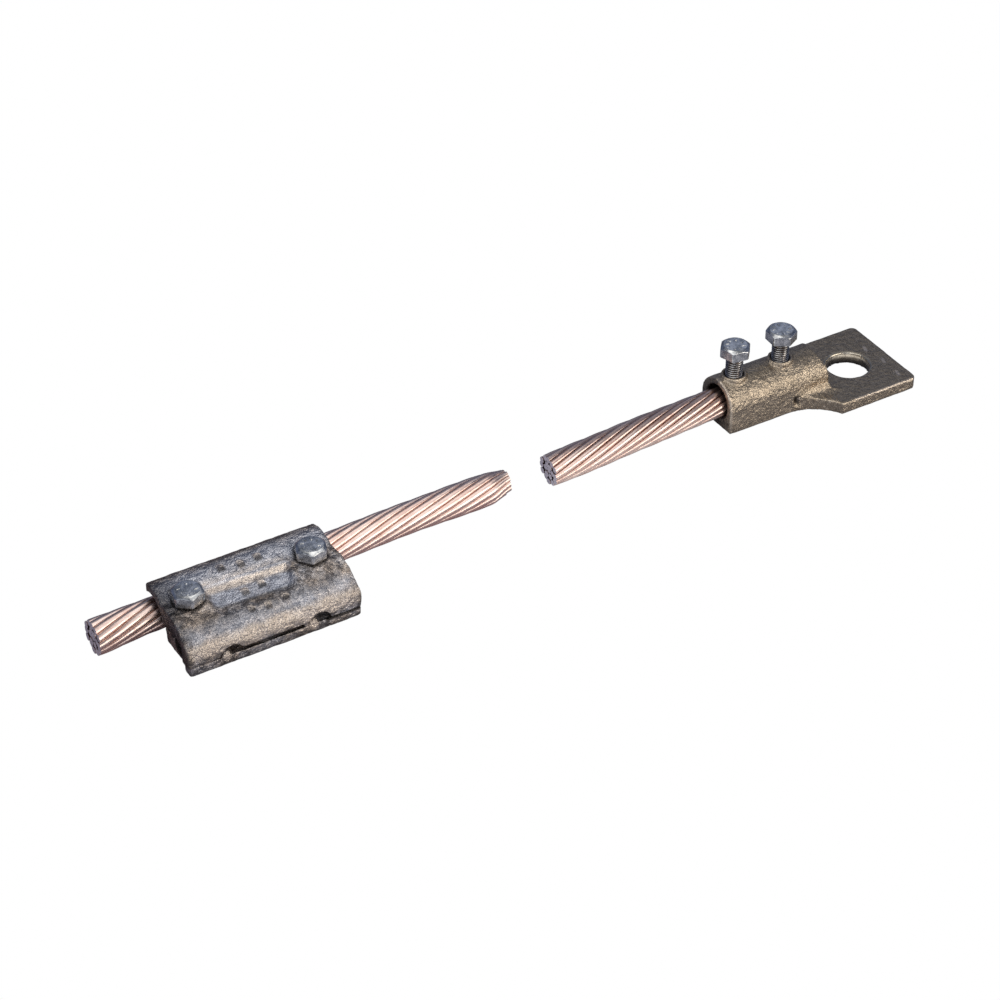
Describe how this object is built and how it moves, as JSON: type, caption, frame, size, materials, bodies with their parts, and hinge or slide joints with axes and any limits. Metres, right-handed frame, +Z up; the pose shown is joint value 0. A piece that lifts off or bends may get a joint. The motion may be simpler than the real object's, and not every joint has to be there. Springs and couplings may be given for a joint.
{
  "type": "bonding connector",
  "caption": "Cast two-jaw grounding clamp on a bare stranded copper conductor, with a flat-tang set-screw lug on the conductor's other end.",
  "frame": {"origin": "centre of the lug's tang hole on the base plane that both castings rest on", "axes": "+X along the conductors towards the tang's end, +Z up along the tang hole, -Y towards the clamp's tap groove"},
  "size_m": [0.4025, 0.0635, 0.0397],
  "materials": {
    "bronze_lug": "sand cast",
    "bronze_clamp": "sand cast",
    "steel": "plain",
    "copper": "bare drawn copper"
  },
  "bodies": {
    "base": {"lug": "bronze_lug", "lower_jaw": "bronze_clamp", "clamp_core_strand": "copper", "clamp_inner_strand_1": "copper", "clamp_inner_strand_2": "copper", "clamp_inner_strand_3": "copper", "clamp_inner_strand_4": "copper", "clamp_inner_strand_5": "copper", "clamp_inner_strand_6": "copper", "clamp_outer_strand_1": "copper", "clamp_outer_strand_2": "copper", "clamp_outer_strand_3": "copper", "clamp_outer_strand_4": "copper", "clamp_outer_strand_5": "copper", "clamp_outer_strand_6": "copper", "clamp_outer_strand_7": "copper", "clamp_outer_strand_8": "copper", "clamp_outer_strand_9": "copper", "clamp_outer_strand_10": "copper", "clamp_outer_strand_11": "copper", "clamp_outer_strand_12": "copper", "lug_core_strand": "copper", "lug_inner_strand_1": "copper", "lug_inner_strand_2": "copper", "lug_inner_strand_3": "copper", "lug_inner_strand_4": "copper", "lug_inner_strand_5": "copper", "lug_inner_strand_6": "copper", "lug_outer_strand_1": "copper", "lug_outer_strand_2": "copper", "lug_outer_strand_3": "copper", "lug_outer_strand_4": "copper", "lug_outer_strand_5": "copper", "lug_outer_strand_6": "copper", "lug_outer_strand_7": "copper", "lug_outer_strand_8": "copper", "lug_outer_strand_9": "copper", "lug_outer_strand_10": "copper", "lug_outer_strand_11": "copper", "lug_outer_strand_12": "copper"},
    "upper_jaw": {"upper_jaw": "bronze_clamp"},
    "clamp_bolt_left": {"clamp_bolt_left": "steel"},
    "clamp_bolt_right": {"clamp_bolt_right": "steel"},
    "set_screw_front": {"set_screw_front": "steel"},
    "set_screw_rear": {"set_screw_rear": "steel"}
  },
  "joints": [
    {"name": "jaw_lift", "type": "slide", "parent": "base", "child": "upper_jaw", "axis": [0, 0, 1], "range_m": [0, 0.008]},
    {"name": "left_bolt_lift", "type": "slide", "parent": "base", "child": "clamp_bolt_left", "axis": [0, 0, 1], "range_m": [0, 0.008]},
    {"name": "right_bolt_lift", "type": "slide", "parent": "base", "child": "clamp_bolt_right", "axis": [0, 0, 1], "range_m": [0, 0.008]},
    {"name": "front_screw_lift", "type": "slide", "parent": "base", "child": "set_screw_front", "axis": [0, 0, 1], "range_m": [-0.0015, 0.0025]},
    {"name": "rear_screw_lift", "type": "slide", "parent": "base", "child": "set_screw_rear", "axis": [0, 0, 1], "range_m": [0, 0.0035]}
  ],
  "couplings": [
    {"joint": "left_bolt_lift", "follows": "jaw_lift", "ratio": 1},
    {"joint": "right_bolt_lift", "follows": "jaw_lift", "ratio": 1}
  ]
}
